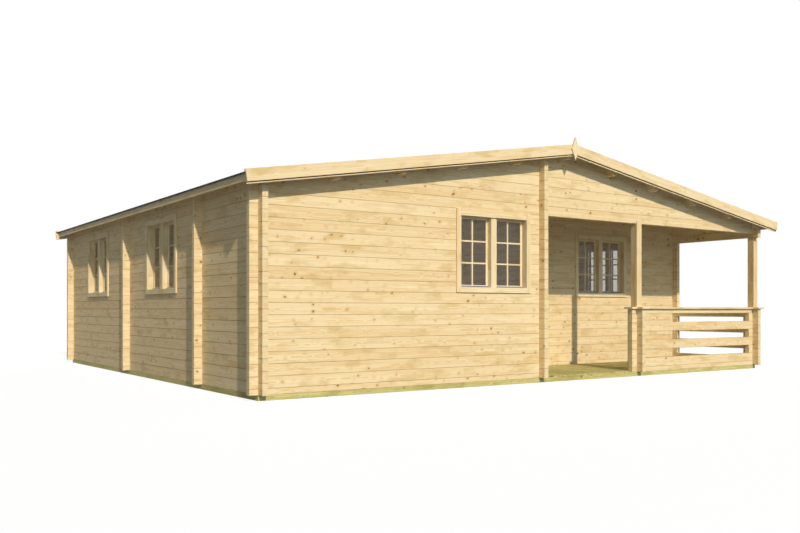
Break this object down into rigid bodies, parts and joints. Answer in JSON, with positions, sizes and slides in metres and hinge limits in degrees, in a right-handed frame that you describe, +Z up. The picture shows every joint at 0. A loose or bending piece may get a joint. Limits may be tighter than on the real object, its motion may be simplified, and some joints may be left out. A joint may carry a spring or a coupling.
{
  "type": "log-built bungalow",
  "caption": "Single-storey log bungalow with a low gabled roof and a recessed railed veranda at the front corner, built from interlocking notched logs.",
  "frame": {"origin": "middle of the plan at ground level", "axes": "+X along the front to the right, +Y from the front to the back, +Z up"},
  "size_m": [9.7448, 8.742, 3.3608],
  "materials": {
    "log_wall": "planed spruce log",
    "planed_spruce": "planed",
    "window_wood": "planed",
    "treated_wood": "pressure treated, greenish",
    "roof_felt": "black felt",
    "window_glass": "clear"
  },
  "bodies": {
    "root": {"front_wall": "log_wall", "front_gable": "log_wall", "left_wall": "log_wall", "right_wall": "log_wall", "back_wall": "log_wall", "back_gable": "log_wall", "cross_wall": "log_wall", "rear_partition": "log_wall", "hall_wall": "log_wall", "front_balustrade": "log_wall", "side_balustrade": "log_wall", "post_stack": "log_wall", "entry_post": "planed_spruce", "corner_post": "planed_spruce", "handrails": "planed_spruce", "purlins": "planed_spruce", "roof_boards": "planed_spruce", "eave_boards": "planed_spruce", "front_bargeboards": "planed_spruce", "back_bargeboards": "planed_spruce", "barge_battens": "planed_spruce", "finials": "planed_spruce", "house_floor": "planed_spruce", "front_window_frame": "window_wood", "front_window_sashes": "window_wood", "veranda_window_frame": "window_wood", "veranda_window_sashes": "window_wood", "left_window_frame": "window_wood", "left_window_sashes": "window_wood", "right_window_frame": "window_wood", "right_window_sashes": "window_wood", "back_window_frame": "window_wood", "back_window_sashes": "window_wood", "door_frame": "window_wood", "door_leaf": "window_wood", "base_beams": "treated_wood", "floor_joists": "treated_wood", "veranda_floor": "treated_wood", "roof_felt": "roof_felt", "front_window_glass": "window_glass", "veranda_window_glass": "window_glass", "left_window_glass": "window_glass", "right_window_glass": "window_glass", "back_window_glass": "window_glass", "door_glass": "window_glass"}
  },
  "joints": []
}
